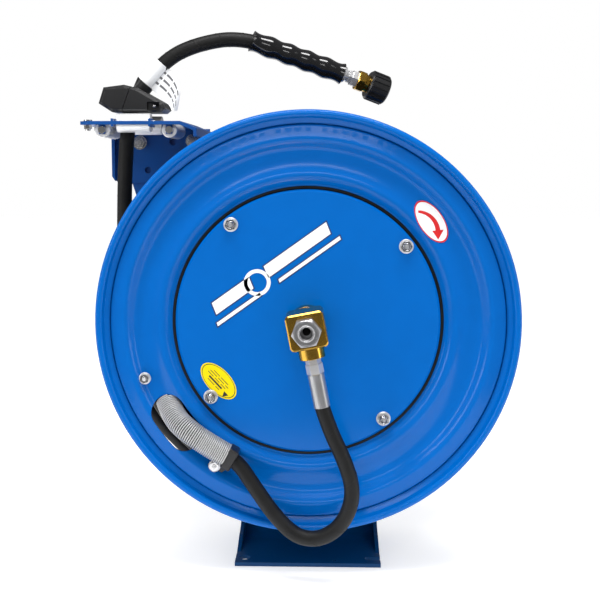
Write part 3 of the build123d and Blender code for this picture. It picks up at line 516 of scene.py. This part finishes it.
def nut_flange(name, x, z, face, radius):
    """The turned flange under a nut, with a bright rounded edge."""
    profile = [(radius, face), (radius, face - 0.0008), (radius - 0.0004, face - 0.0014),
               (radius - 0.0020, face - 0.0019), (radius - 0.0034, face - 0.0019)]
    lathe_y(name, profile, (x, 0, AXIS.z + z), "spool", "zinc_steel", PLATED, segments=40)


def stud_tip(name, x, z, face, radius):
    """The stud's rounded end."""
    profile = [(radius, face + 0.0006), (radius, face), (radius * 0.75, face - 0.0006), (0.0, face - 0.0008)]
    lathe_y(name, profile, (x, 0, AXIS.z + z), "spool", "zinc_steel", PLATED, segments=28)


for number, angle in enumerate(STUD_ANGLES):
    x, z = on_circle(STUD_CIRCLE_R, angle)
    nut_flange(f"plate_nut_flange_{number}", x, z, PLATE_FACE, 0.0084)
    stud_tip(f"plate_stud_tip_{number}", x, z, STUD_END, 0.0027)
for name, angle, face in (("clamp", 237.2, -0.0595), ("spare", 199.1, -0.0570)):
    x, z = on_circle(DISC_BOLT_CIRCLE_R, angle)
    nut_flange(f"{name}_nut_flange", x, z, face, 0.0071)
    stud_tip(f"{name}_stud_tip", x, z, face - NUT_HEIGHT, 0.0021)

# a few turns of thread on each of the centre plate's studs
STUD_THREAD_R, STUD_PITCH, STUD_THREAD_FROM = 0.0040, 0.0009, -0.0556
for number, angle in enumerate(STUD_ANGLES):
    x, z = on_circle(STUD_CIRCLE_R, angle)
    turns = [(x + STUD_THREAD_R * cos(t), STUD_THREAD_FROM - STUD_PITCH * t / (2 * pi),
              AXIS.z + z + STUD_THREAD_R * sin(t)) for t in [2 * pi * 0.97 * i / 20 for i in range(120)]]
    line_piece(f"stud_thread_{number}", turns, 0.00028, "spool", "zinc_steel", sides=1)


# ---- the tag on the hose -----------------------------------------------------
# A printed film folded round the hose, with its two ends stuck together in a flap that curls down.
TAG_FROM, TAG_TO = Vector(OUTLET_ROUTE[6]), Vector(OUTLET_ROUTE[7])
TAG_RUN = (TAG_TO - TAG_FROM).normalized()
TAG_ACROSS = Vector((TAG_RUN.z, 0, -TAG_RUN.x))
TAG_MIDDLE = TAG_FROM + TAG_RUN * 0.042 + AXIS
TAG_LOOP_R, TAG_WIDTH = 0.0099, 0.0305
# the flap's lower and upper edge from the hose to its end: x, and z from the axis
TAG_LOWER = [(-0.1895, 0.2722), (-0.1760, 0.2622), (-0.1670, 0.2540), (-0.1625, 0.2480), (-0.1600, 0.2438)]
TAG_UPPER = [(-0.1690, 0.2965), (-0.1595, 0.2880), (-0.1535, 0.2770), (-0.1517, 0.2640), (-0.1555, 0.2445)]
TAG_GAP = 0.0022        # half the gap between the two ends where they leave the hose
TAG_ACROSS_STEPS, TAG_FLAP_STEPS = 14, 24


def between(points, share):
    """A point on a smooth line through the points, at a share of the way."""
    place = share * (len(points) - 1)
    i = min(int(place), len(points) - 2)
    t = place - i
    before, here = points[max(i - 1, 0)], points[i]
    there, after = points[i + 1], points[min(i + 2, len(points) - 1)]
    return [0.5 * (2 * q + (r - p) * t + (2 * p - 5 * q + 4 * r - s) * t * t
                   + (3 * q - p - 3 * r + s) * t ** 3)
            for p, q, r, s in zip(before, here, there, after)]


def flap_point(share, across, side, lift=0.0):
    """A point of the flap, at shares of its length and width: side is -1 on its front layer, 1 behind."""
    low, high = between(TAG_LOWER, share), between(TAG_UPPER, share)
    x, z = (a + (b - a) * across for a, b in zip(low, high))
    curl = -0.010 * share * share * (1.2 - across) - 0.003 * sin(pi * share)
    return Vector((x, side * TAG_GAP * (1 - 0.85 * share) + curl - lift, AXIS.z + z))


def flap_rows(side):
    """The flap's rows on one side, from the hose to its end."""
    return [[flap_point(share, across, side) for across in shares(TAG_ACROSS_STEPS)]
            for share in shares(TAG_FLAP_STEPS)]


def loop_row(angle):
    """One row of the part round the hose."""
    out = TAG_ACROSS * (TAG_LOOP_R * cos(angle)) + Vector((0, TAG_LOOP_R * sin(angle), 0))
    return [TAG_MIDDLE + TAG_RUN * (TAG_WIDTH * across - 0.0150) + out for across in shares(TAG_ACROSS_STEPS)]


loop_rows = [loop_row(radians(angle)) for angle in range(-20, -341, -10)]
tag_rows = flap_rows(-1)[::-1] + loop_rows + flap_rows(1)
width = TAG_ACROSS_STEPS + 1
tag_faces = [(i * width + j, i * width + j + 1, (i + 1) * width + j + 1, (i + 1) * width + j)
             for i in range(len(tag_rows) - 1) for j in range(TAG_ACROSS_STEPS)]
tag = mesh_piece("tag_sheet", [p for row in tag_rows for p in row], tag_faces, "frame", "tag_film")
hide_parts("hose_tag")

# rows of plain dashes along the front of the flap
DASHES = [(0.04, 0.13), (0.16, 0.34), (0.38, 0.56), (0.60, 0.72), (0.76, 0.88)]
DASH_ROWS, DASH_HALF, DASH_LIFT = (0.80, 0.56, 0.32), 0.042, 0.00012
for line, across in enumerate(DASH_ROWS):
    for dash, (first, last) in enumerate(DASHES if line else DASHES[:-1]):
        points = [flap_point(first + (last - first) * i, across + edge, -1, DASH_LIFT)
                  for i in shares(8) for edge in (-DASH_HALF, DASH_HALF)]
        faces = [(2 * i, 2 * i + 1, 2 * i + 3, 2 * i + 2) for i in range(8)]
        mesh_piece(f"tag_print_{line}_{dash}", points, faces, "frame", "tag_film",
                                    PRINT["label_grey"])

# ---- floor, light and camera ------------------------------------------------------
bpy.ops.mesh.primitive_plane_add(size=8, location=(0, 3.4, 0))
floor = bpy.context.object
floor.name = "floor"
pale = material("pale_floor", (0.93, 0.93, 0.93), 0.7)
glow = pale.node_tree.nodes["Principled BSDF"].inputs
glow["Emission Color"].default_value = (1, 1, 1, 1)
glow["Emission Strength"].default_value = 0.38
floor.data.materials.append(pale)

# the room's brightness: where the camera sees it, in reflections, and as light from below and above
SKY_SEEN, SKY_MIRRORED, SKY_LOW, SKY_HIGH = 1.0, 0.18, 0.40, 0.85


def studio_world():
    """A white room: seen as plain white, softer from below, and dim in reflections for crisp highlights."""
    world = bpy.data.worlds.new("studio")
    world.use_nodes = True
    nodes, links = world.node_tree.nodes, world.node_tree.links
    path = nodes.new("ShaderNodeLightPath")
    place = nodes.new("ShaderNodeTexCoord")
    split = nodes.new("ShaderNodeSeparateXYZ")
    links.new(place.outputs["Generated"], split.inputs["Vector"])
    rise = nodes.new("ShaderNodeMapRange")
    rise.inputs["From Min"].default_value = -1.0
    rise.inputs["To Min"].default_value = SKY_LOW
    rise.inputs["To Max"].default_value = SKY_HIGH
    links.new(split.outputs["Z"], rise.inputs["Value"])
    level = rise.outputs["Result"]
    for ray, value in (("Is Glossy Ray", SKY_MIRRORED), ("Is Camera Ray", SKY_SEEN)):
        mix = nodes.new("ShaderNodeMix")
        links.new(path.outputs[ray], mix.inputs["Factor"])
        links.new(level, mix.inputs["A"])
        mix.inputs["B"].default_value = value
        level = mix.outputs["Result"]
    links.new(level, nodes["Background"].inputs["Strength"])
    nodes["Background"].inputs["Color"].default_value = (1.0, 1.0, 1.0, 1)
    return world


bpy.context.scene.world = studio_world()
bpy.context.scene.view_settings.view_transform = "Standard"


def area_light(name, place, aim, size, power):
    """A soft rectangular lamp turned to the aim."""
    data = bpy.data.lights.new(name, "AREA")
    data.shape = "RECTANGLE"
    data.size, data.size_y = size
    data.energy = power
    lamp = bpy.data.objects.new(name, data)
    lamp.location = place
    lamp.rotation_mode = "QUATERNION"
    lamp.rotation_quaternion = (Vector(aim) - Vector(place)).to_track_quat("-Z", "Y")
    bpy.context.scene.collection.objects.link(lamp)


area_light("overhead", (0, -0.45, 1.75), (0, 0, 0.3), (1.3, 0.35), 22)
area_light("front_top", (-0.15, -1.6, 1.05), (0, 0, 0.45), (1.1, 0.14), 4)
area_light("left_strip", (-1.4, -0.8, 0.8), (0, 0, 0.3), (0.30, 1.2), 7)
area_light("right_strip", (1.5, -0.6, 0.7), (0, 0, 0.3), (0.30, 1.2), 5)

lens = bpy.data.cameras.new("camera")
lens.lens, lens.sensor_width = 57.0, 36.0
lens.shift_y = -0.0865
camera = bpy.data.objects.new("camera", lens)
camera.location = (0.0196, -1.1333, 0.4766)
camera.rotation_euler = (radians(85.0), 0, radians(1.5))
bpy.context.scene.collection.objects.link(camera)
bpy.context.scene.camera = camera
